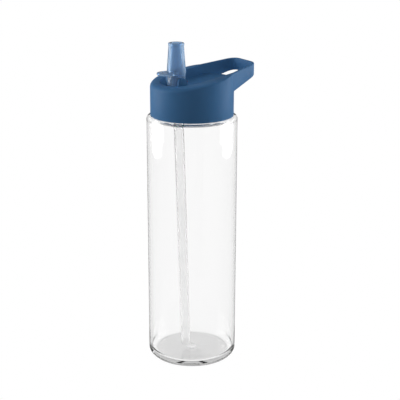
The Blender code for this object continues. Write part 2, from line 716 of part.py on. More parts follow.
def build_gasket(surface):
    """Silicone ring between the neck's rim and its seat in the lid."""
    low = NECK_TOP_Z + REST_GAP
    high = low + GASKET_T
    inner_r = NECK_BORE_R + GASKET_INSET
    outer_r = CAP_BORE_R - GASKET_INSET
    profile = [(outer_r, high), (outer_r, low), (inner_r, low), (inner_r, high)]
    return new_object("neck_gasket", turned(profile), surface)


def build_valve(surface):
    """One-way air valve: a head in the recess, a stem through the roof and a soft skirt under it."""
    under = -ROOF_T - REST_GAP
    profile = [
        (0.0, REST_GAP + VALVE_HEAD_T),
        (VALVE_HEAD_R - VALVE_BEVEL, REST_GAP + VALVE_HEAD_T),
        (VALVE_HEAD_R, REST_GAP + VALVE_HEAD_T - VALVE_BEVEL),
        (VALVE_HEAD_R, REST_GAP),
        (VALVE_STEM_R, REST_GAP),
        (VALVE_STEM_R, under - VALVE_SKIRT_T),
        (VALVE_SKIRT_R, under),
        (VALVE_SKIRT_R, under - VALVE_SKIRT_T),
        (VALVE_STEM_R, under - VALVE_TAIL_H),
        (0.0, under - VALVE_TAIL_H),
    ]
    return new_object("vent_valve", moved(turned(profile, SMALL_STEPS), valve_place()), surface)


def main():
    """Clears the scene and builds every piece."""
    for old in list(bpy.data.objects):
        bpy.data.objects.remove(old, do_unlink=True)
    clear = material("clear_plastic", (0.93, 0.95, 0.96), 0.06, 0.3, 0.9, 1.55)
    blue = material("blue_plastic", (0.033, 0.135, 0.31), 0.3)
    tinted = material("tinted_plastic", (0.16, 0.33, 0.55), 0.15, 0.7, 0.5, 1.5)
    frosted = material("frosted_plastic", (0.82, 0.84, 0.84), 0.35, 0.75, 0.3, 1.5)
    silicone = material("silicone", (0.75, 0.77, 0.78), 0.5)
    build_body(clear)
    build_cap(blue)
    build_spout(tinted)
    build_spout_seal(silicone)
    build_connector(silicone)
    build_straw(frosted)
    build_gasket(silicone)
    build_valve(silicone)


main()
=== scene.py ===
"""Sports bottle with a clear body, a screw lid with a carry loop, a flip spout and a straw.

Every length is in metres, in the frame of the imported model: the origin is on the bottle's
axis at its underside, +Z is up and +X points towards the carry loop.
"""

import logging
import math
from dataclasses import dataclass
from enum import Enum

import bmesh
import bpy
from mathutils import Matrix, Vector


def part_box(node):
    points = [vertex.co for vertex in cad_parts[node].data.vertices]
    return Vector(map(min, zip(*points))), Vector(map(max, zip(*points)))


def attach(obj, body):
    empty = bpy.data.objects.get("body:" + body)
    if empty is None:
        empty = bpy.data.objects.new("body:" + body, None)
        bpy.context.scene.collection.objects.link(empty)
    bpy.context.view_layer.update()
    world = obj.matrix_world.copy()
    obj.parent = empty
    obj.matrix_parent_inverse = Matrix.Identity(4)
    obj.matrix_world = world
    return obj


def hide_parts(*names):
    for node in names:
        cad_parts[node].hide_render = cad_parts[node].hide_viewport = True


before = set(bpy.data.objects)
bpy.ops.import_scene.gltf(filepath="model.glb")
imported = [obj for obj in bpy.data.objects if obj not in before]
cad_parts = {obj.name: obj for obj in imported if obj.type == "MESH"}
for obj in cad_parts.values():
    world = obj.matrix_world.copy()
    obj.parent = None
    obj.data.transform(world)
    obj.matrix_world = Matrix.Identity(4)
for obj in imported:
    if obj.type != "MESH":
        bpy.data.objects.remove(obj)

MM = 0.001
WELD = 1e-6
NOISE_LOW = 0.3
NOISE_HIGH = 0.7
LOG = logging.getLogger("bottle")

Profile = list[tuple[float, float]]
Colour = tuple[float, float, float]
Range = tuple[float, float]
Scale = tuple[float, float, float]


class Slot(Enum):
    """Material slots of the record."""

    CLEAR = "clear_plastic"
    BLUE = "blue_plastic"
    TINTED = "tinted_plastic"
    FROSTED = "frosted_plastic"
    SILICONE = "silicone"


class Body(Enum):
    """Bodies that a piece can ride on."""

    BOTTLE = "bottle"
    GASKET_RING = "gasket_ring"
    LID = "lid"
    SPOUT = "flip_spout"


class Cut(Enum):
    """Ways in which one solid changes another."""

    JOIN = "UNION"
    REMOVE = "DIFFERENCE"
    KEEP_SHARED = "INTERSECT"


# --- Finishes -----------------------------------------------------------------------------


class Shading:
    """A Principled material under construction, with its pattern nodes."""

    def __init__(self, name: str) -> None:
        """Starts a material that holds one Principled shader.

        Args:
            name: the material's name.
        """
        self.material = bpy.data.materials.new(name)
        self.material.use_nodes = True
        self.tree = self.material.node_tree
        self.shader = self.tree.nodes["Principled BSDF"]
        self.place = self.tree.nodes.new("ShaderNodeTexCoord").outputs["Object"]

    def set(self, **values: float | tuple[float, ...]) -> None:
        """Sets constants on the shader. An underscore stands for a space in a socket's name."""
        for key, value in values.items():
            self.shader.inputs[key.replace("_", " ")].default_value = value

    def stretched(self, scale: Scale) -> bpy.types.NodeSocket:
        """Place in the piece, scaled differently along each axis.

        Args:
            scale: factor along X, Y and Z.

        Returns:
            The scaled vector.
        """
        mapping = self.tree.nodes.new("ShaderNodeMapping")
        mapping.inputs["Scale"].default_value = scale
        self.tree.links.new(self.place, mapping.inputs["Vector"])
        return mapping.outputs["Vector"]

    def noise(
        self, scale: float, detail: float = 3.0, at: bpy.types.NodeSocket | None = None
    ) -> bpy.types.NodeSocket:
        """Noise from 0 to 1.

        Args:
            scale: features per metre.
            detail: octaves.
            at: vector to read, or the place in the piece.

        Returns:
            The noise value.
        """
        node = self.tree.nodes.new("ShaderNodeTexNoise")
        node.inputs["Scale"].default_value = scale
        node.inputs["Detail"].default_value = detail
        self.tree.links.new(at or self.place, node.inputs["Vector"])
        return node.outputs["Fac"]

    def ranged(self, value: bpy.types.NodeSocket, ends: Range) -> bpy.types.NodeSocket:
        """Maps the middle of a noise's range to another range.

        Args:
            value: the noise.
            ends: results at the low and the high end of the noise's middle.

        Returns:
            The mapped value.
        """
        node = self.tree.nodes.new("ShaderNodeMapRange")
        node.inputs["From Min"].default_value = NOISE_LOW
        node.inputs["From Max"].default_value = NOISE_HIGH
        node.inputs["To Min"].default_value = ends[0]
        node.inputs["To Max"].default_value = ends[1]
        self.tree.links.new(value, node.inputs["Value"])
        return node.outputs["Result"]

    def drive(self, socket: str, value: bpy.types.NodeSocket) -> None:
        """Links a pattern to one of the shader's sockets."""
        self.tree.links.new(value, self.shader.inputs[socket])

    def tone(self, first: Colour, second: Colour, value: bpy.types.NodeSocket) -> None:
        """Lets the base colour drift between two tones.

        Args:
            first: linear colour where the pattern is low.
            second: linear colour where the pattern is high.
            value: the pattern.
        """
        ramp = self.tree.nodes.new("ShaderNodeValToRGB")
        ramp.color_ramp.elements[0].position = NOISE_LOW
        ramp.color_ramp.elements[1].position = NOISE_HIGH
        ramp.color_ramp.elements[0].color = (*first, 1.0)
        ramp.color_ramp.elements[1].color = (*second, 1.0)
        self.tree.links.new(value, ramp.inputs["Fac"])
        self.drive("Base Color", ramp.outputs["Color"])

    def relief(self, *layers: tuple[bpy.types.NodeSocket, float]) -> None:
        """Adds bumps, one over the other.

        Args:
            layers: a pattern and its depth in metres for each bump.
        """
        below = None
        for value, depth in layers:
            bump = self.tree.nodes.new("ShaderNodeBump")
            bump.inputs["Distance"].default_value = depth
            self.tree.links.new(value, bump.inputs["Height"])
            if below is not None:
                self.tree.links.new(below, bump.inputs["Normal"])
            below = bump.outputs["Normal"]
        self.drive("Normal", below)


@dataclass(frozen=True)
class ClearFinish:
    """Water-clear moulded copolyester with a faint flow pattern.

    The refractive index is lower than the resin's own, which keeps the edges and the floor pale.
    A long way through the resin, as at the sides, looks grey.
    """

    tint: Colour = (1.0, 1.0, 1.0)
    deep_tint: Colour = (0.99, 0.99, 0.99)
    ior: float = 1.32
    flow_scale: Scale = (38.0, 38.0, 7.0)
    flow_depth: float = 0.001 * MM
    rub_scale: Scale = (900.0, 900.0, 160.0)
    roughness: Range = (0.008, 0.035)
    resin_depth: float = 8.0

    def made(self) -> bpy.types.Material:
        """Builds the material.

        Returns:
            The finish, with its absorption in the volume.
        """
        shading = Shading("clear_copolyester")
        resin = shading.tree.nodes.new("ShaderNodeVolumeAbsorption")
        resin.inputs["Color"].default_value = (0.0, 0.0, 0.0, 1.0)
        resin.inputs["Density"].default_value = self.resin_depth
        ends = shading.tree.nodes["Material Output"]
        shading.tree.links.new(resin.outputs["Volume"], ends.inputs["Volume"])
        shading.set(Transmission_Weight=1.0, IOR=self.ior, Specular_IOR_Level=0.5)
        flow = shading.noise(1.0, 2.0, shading.stretched(self.flow_scale))
        rub = shading.noise(1.0, 5.0, shading.stretched(self.rub_scale))
        shading.tone(self.tint, self.deep_tint, flow)
        shading.drive("Roughness", shading.ranged(rub, self.roughness))
        shading.relief((flow, self.flow_depth))
        return shading.material


@dataclass(frozen=True)
class LidFinish:
    """Opaque satin polypropylene with a fine spark-eroded grain."""

    tone: Colour = (0.050, 0.152, 0.318)
    pale_tone: Colour = (0.054, 0.161, 0.336)
    cloud_scale: float = 45.0
    wear_scale: float = 260.0
    roughness: Range = (0.44, 0.54)
    grain_scale: float = 5200.0
    grain_depth: float = 0.0015 * MM
    sink_scale: float = 70.0
    sink_depth: float = 0.012 * MM

    def made(self) -> bpy.types.Material:
        """Builds the material.

        Returns:
            The finish, with its grain over faint moulding sinks.
        """
        shading = Shading("blue_polypropylene")
        shading.set(IOR=1.46, Specular_IOR_Level=0.11)
        shading.set(Subsurface_Weight=0.04, Subsurface_Scale=1.2 * MM)
        cloud = shading.noise(self.cloud_scale, 3.0)
        grain = shading.noise(self.grain_scale, 2.0)
        sink = shading.noise(self.sink_scale, 1.0)
        shading.tone(self.tone, self.pale_tone, cloud)
        shading.drive(
            "Roughness", shading.ranged(shading.noise(self.wear_scale, 4.0), self.roughness)
        )
        shading.relief((sink, self.sink_depth), (grain, self.grain_depth))
        return shading.material


@dataclass(frozen=True)
class TintedFinish:
    """Translucent blue moulding of the mouthpiece, with its refractive index set low."""

    tone: Colour = (0.38, 0.56, 0.77)
    deep_tone: Colour = (0.35, 0.53, 0.75)
    ior: float = 1.36
    cloud_scale: Scale = (160.0, 160.0, 45.0)
    cloud_depth: float = 0.004 * MM
    wear_scale: float = 420.0
    roughness: Range = (0.07, 0.11)

    def made(self) -> bpy.types.Material:
        """Builds the material.

        Returns:
            The finish, slightly cloudy along the tube.
        """
        shading = Shading("tinted_polypropylene")
        shading.set(Transmission_Weight=0.62, IOR=self.ior, Specular_IOR_Level=0.3)
        cloud = shading.noise(1.0, 2.0, shading.stretched(self.cloud_scale))
        shading.tone(self.tone, self.deep_tone, cloud)
        shading.drive(
            "Roughness", shading.ranged(shading.noise(self.wear_scale, 4.0), self.roughness)
        )
        shading.relief((cloud, self.cloud_depth))
        return shading.material


@dataclass(frozen=True)
class FrostedFinish:
    """Extruded, slightly milky tube with fine die lines along it."""

    tone: Colour = (0.99, 0.99, 0.99)
    milky_tone: Colour = (0.965, 0.965, 0.965)
    line_scale: Scale = (1900.0, 1900.0, 9.0)
    line_depth: float = 0.002 * MM
    cloud_scale: float = 90.0
    roughness: Range = (0.12, 0.24)

    def made(self) -> bpy.types.Material:
        """Builds the material.

        Returns:
            The finish, with its die lines along Z.
        """
        shading = Shading("frosted_polyethylene")
        shading.set(Transmission_Weight=0.97, IOR=1.45)
        lines = shading.noise(1.0, 4.0, shading.stretched(self.line_scale))
        cloud = shading.noise(self.cloud_scale, 3.0)
        shading.tone(self.tone, self.milky_tone, cloud)
        shading.drive("Roughness", shading.ranged(lines, self.roughness))
        shading.relief((lines, self.line_depth))
        return shading.material


@dataclass(frozen=True)
class SiliconeFinish:
    """Soft matt silicone with a dusty sheen."""

    tone: Colour = (0.74, 0.76, 0.77)
    dusty_tone: Colour = (0.67, 0.69, 0.70)
    cloud_scale: float = 140.0
    wear_scale: float = 700.0
    roughness: Range = (0.46, 0.62)
    skin_scale: float = 2600.0
    skin_depth: float = 0.01 * MM

    def made(self) -> bpy.types.Material:
        """Builds the material.

        Returns:
            The finish, with a soft uneven skin.
        """
        shading = Shading("natural_silicone")
        shading.set(Sheen_Weight=0.25, Sheen_Roughness=0.5, IOR=1.41)
        shading.set(Subsurface_Weight=0.3, Subsurface_Scale=1.5 * MM)
        cloud = shading.noise(self.cloud_scale, 3.0)
        shading.tone(self.tone, self.dusty_tone, cloud)
        shading.drive(
            "Roughness", shading.ranged(shading.noise(self.wear_scale, 4.0), self.roughness)
        )
        shading.relief((shading.noise(self.skin_scale, 3.0), self.skin_depth))
        return shading.material


# --- Shaping ------------------------------------------------------------------------------


def arc(
    centre: tuple[float, float], radius: float, start: float, end: float, steps: int
) -> Profile:
    """Points of an arc, both ends included.

    Args:
        centre: (radius, height) of the arc's centre.
        radius: its radius.
        start: first angle, in degrees.
        end: last angle, in degrees.
        steps: number of chords.

    Returns:
        The points in order.
    """
    angles = [math.radians(start + (end - start) * i / steps) for i in range(steps + 1)]
    return [(centre[0] + radius * math.cos(a), centre[1] + radius * math.sin(a)) for a in angles]


def rounded(corners: list[tuple[float, float, float]], steps: int = 4) -> Profile:
    """Closed outline whose corners are rounded with a smooth curve.

    Args:
        corners: (radius, height, rounding) of each corner; a rounding of 0 keeps it sharp.
        steps: chords in each rounded corner.

    Returns:
        The outline's points.
    """
    points: Profile = []
    for i, (x, z, size) in enumerate(corners):
        at = Vector((x, z))
        if size <= 0.0:
            points.append((x, z))
            continue
        before = Vector(corners[i - 1][:2]) - at
        after = Vector(corners[(i + 1) % len(corners)][:2]) - at
        first = at + before.normalized() * size
        last = at + after.normalized() * size
        for j in range(steps + 1):
            t = j / steps
            p = first * (1 - t) ** 2 + at * 2 * t * (1 - t) + last * t**2
            points.append((p.x, p.y))
    return points


@dataclass(frozen=True)
class Sweep:
    """How an outline is carried round the Z axis: turned like a pot, or screwed like a thread."""

    segments: int = 96
    turns: float = 1.0
    rise: float = 0.0
    root_radius: float = 0.0
    fade: float = 0.0
    start_turn: float = 0.0


class SkinMaker:
    """Geometry Nodes tree that carries an outline round the Z axis."""

    INPUTS = {
        "Segments": "NodeSocketInt",
        "Turns": "NodeSocketFloat",
        "Rise": "NodeSocketFloat",
        "Root Radius": "NodeSocketFloat",
        "Fade": "NodeSocketFloat",
        "Start Turn": "NodeSocketFloat",
        "Finish": "NodeSocketMaterial",
    }

    def __init__(self) -> None:
        """Builds the tree once for every piece."""
        self.tree = bpy.data.node_groups.new("carried_outline", "GeometryNodeTree")
        face = self.tree.interface
        face.new_socket("Geometry", in_out="INPUT", socket_type="NodeSocketGeometry")
        self.sockets = {
            name: face.new_socket(name, in_out="INPUT", socket_type=kind).identifier
            for name, kind in self.INPUTS.items()
        }
        face.new_socket("Geometry", in_out="OUTPUT", socket_type="NodeSocketGeometry")
        self._wire()

    def _node(self, kind: str, **settings: str) -> bpy.types.Node:
        """Adds a node to the tree.

        Args:
            kind: node type.
            settings: its options by name.

        Returns:
            The node.
        """
        node = self.tree.nodes.new(kind)
        for key, value in settings.items():
            setattr(node, key, value)
        return node

    def _whole(self, operation: str, first: object, second: object) -> bpy.types.NodeSocket:
        """Whole-number sum of two sockets or numbers."""
        return self._sum("FunctionNodeIntegerMath", operation, first, second)

    def _real(self, operation: str, first: object, second: object = 0.0) -> bpy.types.NodeSocket:
        """Real-number sum of two sockets or numbers."""
        return self._sum("ShaderNodeMath", operation, first, second)

    def _sum(
        self, kind: str, operation: str, first: object, second: object
    ) -> bpy.types.NodeSocket:
        """Adds a node that combines two values.

        Args:
            kind: node type.
            operation: what it does with them.
            first: socket or number.
            second: socket or number.

        Returns:
            The result.
        """
        node = self._node(kind, operation=operation)
        for socket, value in zip(node.inputs, (first, second)):
            if isinstance(value, bpy.types.NodeSocket):
                self.tree.links.new(value, socket)
            else:
                socket.default_value = value
        return node.outputs[0]

    def _wire(self) -> None:
        """Lays out the tree: a grid whose rows are read from the outline and whose columns turn."""
        link = self.tree.links.new
        given = self._node("NodeGroupInput").outputs
        count = self._node("GeometryNodeAttributeDomainSize")
        link(given["Geometry"], count.inputs["Geometry"])
        rows = self._whole("ADD", count.outputs["Point Count"], 1)
        grid = self._node("GeometryNodeMeshGrid")
        link(self._whole("ADD", given["Segments"], 1), grid.inputs["Vertices X"])
        link(rows, grid.inputs["Vertices Y"])
        index = self._node("GeometryNodeInputIndex").outputs["Index"]
        column = self._whole("DIVIDE_FLOOR", index, rows)
        row = self._whole("MODULO", index, rows)
        row = self._whole("MODULO", row, count.outputs["Point Count"])
        point = self._node("GeometryNodeSampleIndex", data_type="FLOAT_VECTOR")
        link(given["Geometry"], point.inputs["Geometry"])
        link(self._node("GeometryNodeInputPosition").outputs["Position"], point.inputs["Value"])
        link(row, point.inputs["Index"])
        outline = self._node("ShaderNodeSeparateXYZ")
        link(point.outputs["Value"], outline.inputs["Vector"])
        along = self._real("DIVIDE", column, given["Segments"])
        to_end = self._real("MINIMUM", along, self._real("SUBTRACT", 1.0, along))
        faded = self._real("DIVIDE", to_end, self._real("MAXIMUM", given["Fade"], WELD))
        full = self._real("MINIMUM", faded, 1.0)
        tapers = self._real("GREATER_THAN", given["Fade"], 0.0)
        lost = self._real("MULTIPLY", tapers, self._real("SUBTRACT", 1.0, full))
        size = self._real("SUBTRACT", 1.0, lost)
        depth = self._real("SUBTRACT", outline.outputs["X"], given["Root Radius"])
        radius = self._real("ADD", given["Root Radius"], self._real("MULTIPLY", depth, size))
        lift = self._real("MULTIPLY", given["Rise"], along)
        height = self._real("ADD", lift, self._real("MULTIPLY", outline.outputs["Z"], size))
        turn = self._real("ADD", given["Start Turn"], self._real("MULTIPLY", given["Turns"], along))
        angle = self._real("MULTIPLY", turn, math.tau)
        place = self._node("ShaderNodeCombineXYZ")
        link(self._real("MULTIPLY", radius, self._real("COSINE", angle)), place.inputs["X"])
        link(self._real("MULTIPLY", radius, self._real("SINE", angle)), place.inputs["Y"])
        link(height, place.inputs["Z"])
        moved = self._node("GeometryNodeSetPosition")
        link(grid.outputs["Mesh"], moved.inputs["Geometry"])
        link(place.outputs["Vector"], moved.inputs["Position"])
        welded = self._node("GeometryNodeMergeByDistance")
        welded.inputs["Distance"].default_value = WELD
        link(moved.outputs["Geometry"], welded.inputs["Geometry"])
        real = self._node("GeometryNodeRealizeInstances")
        link(welded.outputs["Geometry"], real.inputs["Geometry"])
        dressed = self._node("GeometryNodeSetMaterial")
        link(real.outputs["Geometry"], dressed.inputs["Geometry"])
        link(given["Finish"], dressed.inputs["Material"])
        link(dressed.outputs["Geometry"], self._node("NodeGroupOutput").inputs["Geometry"])

    def made(
        self, name: str, outline: Profile, finish: bpy.types.Material, sweep: Sweep = Sweep()
    ) -> bpy.types.Object:
        """Carries an outline round the Z axis.

        Args:
            name: the piece's name.
            outline: closed outline of (radius, height).
            finish: its material.
            sweep: how it is carried round.

        Returns:
            A plain mesh object with its faces outward.
        """
        mesh = bpy.data.meshes.new(name)
        mesh.from_pydata([(x, 0.0, z) for x, z in outline], [], [])
        piece = bpy.data.objects.new(name, mesh)
        bpy.context.scene.collection.objects.link(piece)
        modifier = piece.modifiers.new("carried", "NODES")
        modifier.node_group = self.tree
        values = {
            "Segments": sweep.segments,
            "Turns": sweep.turns,
            "Rise": sweep.rise,
            "Root Radius": sweep.root_radius,
            "Fade": sweep.fade,
            "Start Turn": sweep.start_turn,
            "Finish": finish,
        }
        for key, value in values.items():
            modifier[self.sockets[key]] = value
        baked(piece)
        turn_outward(piece)
        return piece


def baked(piece: bpy.types.Object) -> bpy.types.Object:
    """Turns a piece's modifiers into its mesh.

    Args:
        piece: the object, which loses its modifiers.

    Returns:
        The same object.
    """
    seen = bpy.context.evaluated_depsgraph_get()
    mesh = bpy.data.meshes.new_from_object(piece.evaluated_get(seen))
    piece.modifiers.clear()
    old = piece.data
    piece.data = mesh
    mesh.name = piece.name
    bpy.data.meshes.remove(old)
    return piece


def turn_outward(piece: bpy.types.Object) -> None:
    """Welds a closed mesh and points its faces outward.

    Args:
        piece: the object whose mesh is changed.
    """
    bm = bmesh.new()
    bm.from_mesh(piece.data)
    bmesh.ops.remove_doubles(bm, verts=bm.verts, dist=WELD)
    bmesh.ops.recalc_face_normals(bm, faces=bm.faces)
    if bm.calc_volume(signed=True) < 0.0:
        bmesh.ops.reverse_faces(bm, faces=bm.faces)
    bm.to_mesh(piece.data)
    bm.free()


def moved(piece: bpy.types.Object, matrix: Matrix) -> bpy.types.Object:
    """Moves a piece's mesh, leaving its object at the origin."""
    piece.data.transform(matrix)
    return piece


def cut(target: bpy.types.Object, tool: bpy.types.Object, how: Cut) -> bpy.types.Object:
    """Joins, removes or intersects a solid, and deletes it.

    Args:
        target: the piece that is changed.
        tool: the solid that changes it.
        how: what is done with it.

    Returns:
        The changed piece.
    """
    modifier = target.modifiers.new("cut", "BOOLEAN")
    modifier.operation = how.value
    modifier.solver = "EXACT"
    modifier.object = tool
    baked(target)
    bpy.data.objects.remove(tool, do_unlink=True)
    return target


def smoothed(piece: bpy.types.Object, angle: float = 32.0) -> bpy.types.Object:
    """Shades a piece smooth, apart from its sharp edges.

    Args:
        piece: the object.
        angle: degrees from which an edge counts as sharp.

    Returns:
        The same object.
    """
    piece.data.shade_smooth()
    piece.data.set_sharp_from_angle(angle=math.radians(angle))
    return piece


def dress(piece: bpy.types.Object, finish: bpy.types.Material) -> None:
    """Gives the whole piece one finish.

    Args:
        piece: the object.
        finish: its material.
    """
    piece.data.materials.clear()
    piece.data.materials.append(finish)
    for face in piece.data.polygons:
        face.material_index = 0


def stand_in(piece: bpy.types.Object, node: str, body: Body) -> None:
    """Puts a finished piece in the place of a CAD node.

    Args:
        piece: the finished piece, at the origin.
        node: the node it stands for.
        body: the body it rides on.
    """
    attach(piece, body.value)
    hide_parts(node)
    LOG.info("%s: %d faces on %s", piece.name, len(piece.data.polygons), body.value)


# --- Pieces -------------------------------------------------------------------------------


@dataclass
class ClearBottle:
    """Clear body with a heavy floor, a square shoulder and a threaded neck."""

    maker: SkinMaker
    finish: bpy.types.Material
    wall: float = 1.9 * MM
    shoulder_z: float = 203.4 * MM
    floor: float = 4.0 * MM
    base_corner: float = 5.0 * MM
    shoulder_corner: float = 2.6 * MM
    neck_radius: float = 29.10 * MM
    neck_wall: float = 2.1 * MM
    neck_fillet: float = 1.0 * MM
    rim_round: float = 0.6 * MM
    mouth_ease: float = 0.4 * MM
    stand_radius: float = 28.5 * MM
    stand_groove: float = 0.12 * MM
    stand_depth: float = 0.02 * MM
    gate_mark: tuple[tuple[float, float], ...] = (
        (0.0, 0.3),
        (1.4, 0.4),
        (2.6, 0.85),
        (3.6, 0.85),
        (4.6, 0.3),
        (5.6, 0.0),
    )
    rows: int = 12
    thread_z: float = 3.3 * MM
    thread_depth: float = 1.3 * MM
    thread_sink: float = 0.4 * MM
    thread_root: float = 1.1 * MM
    thread_crest: float = 0.55 * MM
    crest_ease: float = 0.25 * MM
    pitch: float = 4.0 * MM
    turns: float = 1.25

    def outline(self, radius: float, top: float) -> Profile:
        """Section of the wall.

        Args:
            radius: outer radius of the body.
            top: height of the neck's rim.

        Returns:
            Closed outline, from the neck's rim down the outside and up the inside.
        """
        inner = radius - self.wall
        bore = self.neck_radius - self.neck_wall
        under = self.shoulder_z - self.wall
        corner, base = self.shoulder_corner, self.base_corner
        rim, fillet, ease = self.rim_round, self.neck_fillet, self.mouth_ease
        points = [(bore + ease, top), (self.neck_radius - rim, top)]
        points += arc((self.neck_radius - rim, top - rim), rim, 80, 0, 4)
        points += arc((self.neck_radius + fillet, self.shoulder_z + fillet), fillet, 180, 270, 6)
        points += arc((radius - corner, self.shoulder_z - corner), corner, 90, 0, 12)
        points += [(radius, self.shoulder_z * (1 - i / self.rows)) for i in range(1, self.rows)]
        points += arc((radius - base, base), base, 0, -90, 16)
        points += [(self.stand_radius + 0.7 * MM, 0.0), (self.stand_radius, self.stand_groove)]
        points += [(self.stand_radius - 0.8 * MM, self.stand_depth)]
        points += [(self.stand_radius * 0.5, self.stand_depth * 1.1)]
        points += [(0.0, self.stand_depth * 1.2)]
        points += [(x * MM, self.floor + z * MM) for x, z in self.gate_mark]
        points += arc((inner - base, self.floor + base), base, -90, 0, 14)
        low, run = self.floor + base, under - 20 * MM
        points += [(inner, low + run * i / self.rows) for i in range(1, self.rows)]
        points += arc((inner - corner, under - corner), corner, 0, 90, 8)
        points += arc((bore + fillet, under + fillet), fillet, 270, 180, 5)
        points += [(bore, top - ease)]
        return points

    def build(self) -> bpy.types.Object:
        """Builds the body and its thread.

        Returns:
            The finished piece.
        """
        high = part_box("bottle_body")[1]
        wall = self.outline(high[0], high[2])
        body = self.maker.made("clear_body", wall, self.finish, Sweep(160))
        rib = self.thread_outline()
        thread = self.maker.made("neck_thread", rib, self.finish, self.thread_sweep())
        moved(thread, Matrix.Translation((0.0, 0.0, self.shoulder_z + self.thread_z)))
        cut(body, thread, Cut.JOIN)
        smoothed(body, 40.0)
        dress(body, self.finish)
        stand_in(body, "bottle_body", Body.BOTTLE)
        return body

    def thread_outline(self) -> Profile:
        """Section of the rib, with a softened crest.

        Returns:
            Closed outline of (radius, height).
        """
        crest = self.neck_radius + self.thread_depth
        root = self.neck_radius - self.thread_sink
        corners = [
            (root, -self.thread_root, 0.0),
            (crest, -self.thread_crest, self.crest_ease),
            (crest, self.thread_crest, self.crest_ease),
            (root, self.thread_root, 0.0),
        ]
        return rounded(corners, 3)

    def thread_sweep(self) -> Sweep:
        """Path of the rib, which rises anticlockwise and fades into the neck at both ends.

        Returns:
            The sweep.
        """
        return Sweep(
            segments=150,
            turns=self.turns,
            rise=self.pitch * self.turns,
            root_radius=self.neck_radius - self.thread_sink,
            fade=0.07,
        )


@dataclass
class ScrewLid:
    """Lid with its skirt, recess, bearing cheeks, nozzle and carry loop, with eased edges."""

    finish: bpy.types.Material
    edge_ease: float = 0.22 * MM
    eased_from: float = 38.0
    sharp_from: float = 34.0
    flatness: float = 0.7

    def build(self) -> bpy.types.Object:
        """Copies the lid's solid, welds it and eases its edges.

        Returns:
            The finished piece.
        """
        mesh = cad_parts["cap_shell"].data.copy()
        mesh.name = "screw_lid"
        lid = bpy.data.objects.new("screw_lid", mesh)
        bpy.context.scene.collection.objects.link(lid)
        bm = bmesh.new()
        bm.from_mesh(mesh)
        bmesh.ops.remove_doubles(bm, verts=bm.verts, dist=WELD)
        bmesh.ops.dissolve_limit(
            bm, angle_limit=math.radians(self.flatness), verts=bm.verts, edges=bm.edges
        )
        bm.to_mesh(mesh)
        bm.free()
        ease = lid.modifiers.new("eased_edges", "BEVEL")
        ease.width = self.edge_ease
        ease.segments = 2
        ease.limit_method = "ANGLE"
        ease.angle_limit = math.radians(self.eased_from)
        ease.use_clamp_overlap = True
        baked(lid)
        smoothed(lid, self.sharp_from)
        dress(lid, self.finish)
        stand_in(lid, "cap_shell", Body.LID)
        return lid


